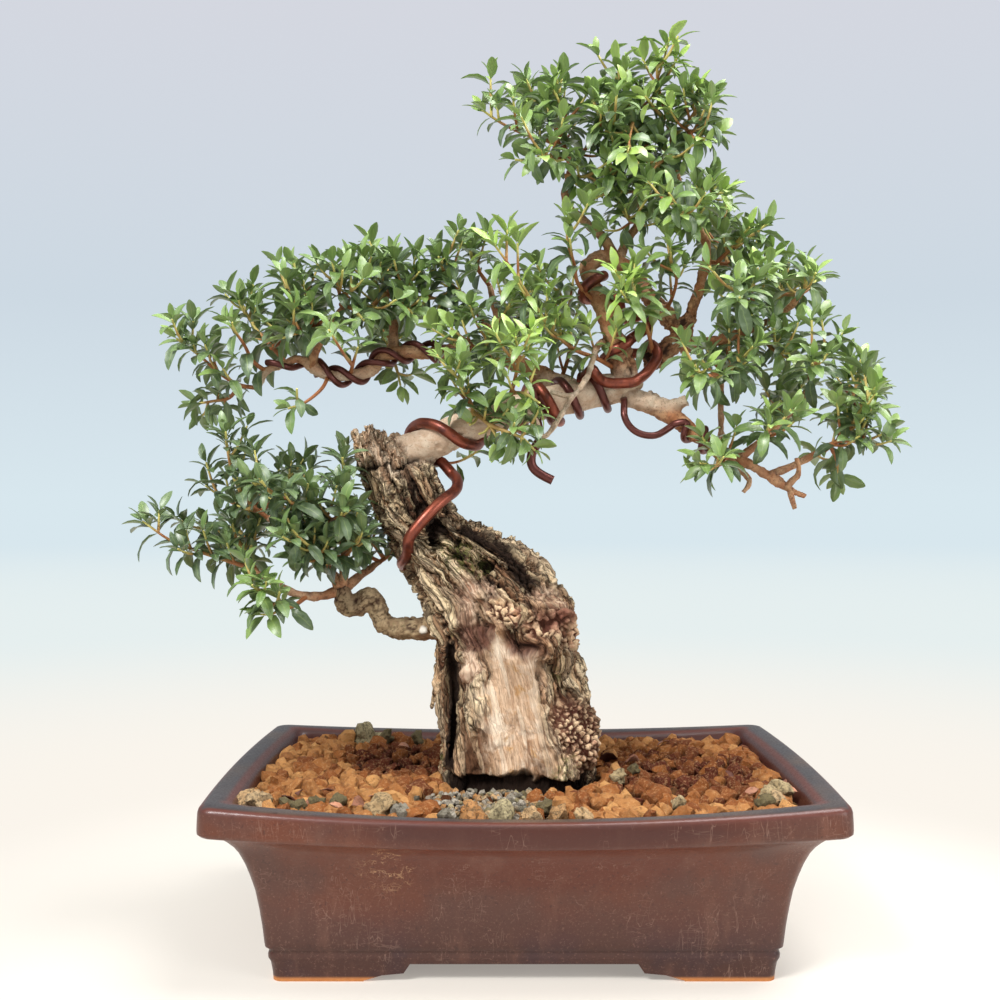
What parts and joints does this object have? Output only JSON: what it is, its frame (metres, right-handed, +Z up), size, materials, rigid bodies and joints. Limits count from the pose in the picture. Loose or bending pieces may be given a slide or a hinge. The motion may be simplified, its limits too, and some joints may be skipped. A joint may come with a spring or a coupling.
{
  "type": "common myrtle bonsai",
  "caption": "Old common myrtle bonsai with a leaning dead-faced trunk, wired branches and fine paired leaves, in a rectangular glazed tray of clay grains.",
  "frame": {"origin": "middle of the pot's footprint, on the surface that its feet stand on", "axes": "+Z up, +X to the right along the pot's long side, +Y to the back, front towards -Y"},
  "size_m": [0.3349, 0.1858, 0.3914],
  "materials": {
    "glaze": "semi-gloss iron-brown glaze with fine speckle, blue-grey on the rim",
    "screen": "matte woven net",
    "soil": "dry fired-clay grains with some grey gravel",
    "bark": "furrowed bark, pale weathered deadwood and smooth young bark",
    "wire": "satin copper-brown anodised",
    "old_leaf": "waxy dark green leaf with a pale rib",
    "young_leaf": "waxy bright green young leaf"
  },
  "bodies": {
    "root": {"pot": "glaze", "drain_screen_left": "screen", "drain_screen_right": "screen", "soil": "soil", "tree_wood": "bark", "heavy_wire": "wire", "crown_wire": "wire", "loop_wire": "wire", "cut_wire": "wire", "left_wire_a": "wire", "left_wire_b": "wire", "crown_spray_01": "old_leaf", "crown_spray_02": "old_leaf", "crown_spray_03": "old_leaf", "crown_spray_04": "young_leaf", "crown_spray_05": "old_leaf", "crown_spray_06": "old_leaf", "crown_spray_07": "old_leaf", "crown_spray_08": "old_leaf", "crown_spray_09": "old_leaf", "crown_spray_10": "young_leaf", "crown_spray_11": "old_leaf", "crown_spray_12": "old_leaf", "crown_spray_13": "old_leaf", "crown_spray_14": "old_leaf", "right_spray_01": "old_leaf", "right_spray_02": "old_leaf", "right_spray_03": "old_leaf", "right_spray_04": "old_leaf", "right_spray_05": "old_leaf", "right_spray_06": "old_leaf", "right_spray_07": "old_leaf", "right_spray_08": "old_leaf", "left_spray_01": "old_leaf", "left_spray_02": "old_leaf", "left_spray_03": "old_leaf", "left_spray_04": "old_leaf", "left_spray_05": "old_leaf", "left_spray_06": "old_leaf", "left_spray_07": "old_leaf", "left_spray_08": "old_leaf", "left_spray_09": "old_leaf", "left_spray_10": "old_leaf", "centre_spray_01": "young_leaf", "centre_spray_02": "old_leaf", "centre_spray_03": "young_leaf", "centre_spray_04": "old_leaf", "centre_spray_05": "old_leaf", "centre_spray_06": "old_leaf", "centre_spray_07": "old_leaf", "centre_spray_08": "old_leaf", "low_spray_01": "old_leaf", "low_spray_02": "old_leaf", "low_spray_03": "old_leaf", "low_spray_04": "old_leaf", "low_spray_05": "old_leaf", "low_spray_06": "young_leaf", "low_spray_07": "old_leaf", "low_spray_08": "old_leaf", "low_spray_09": "old_leaf"}
  },
  "joints": []
}
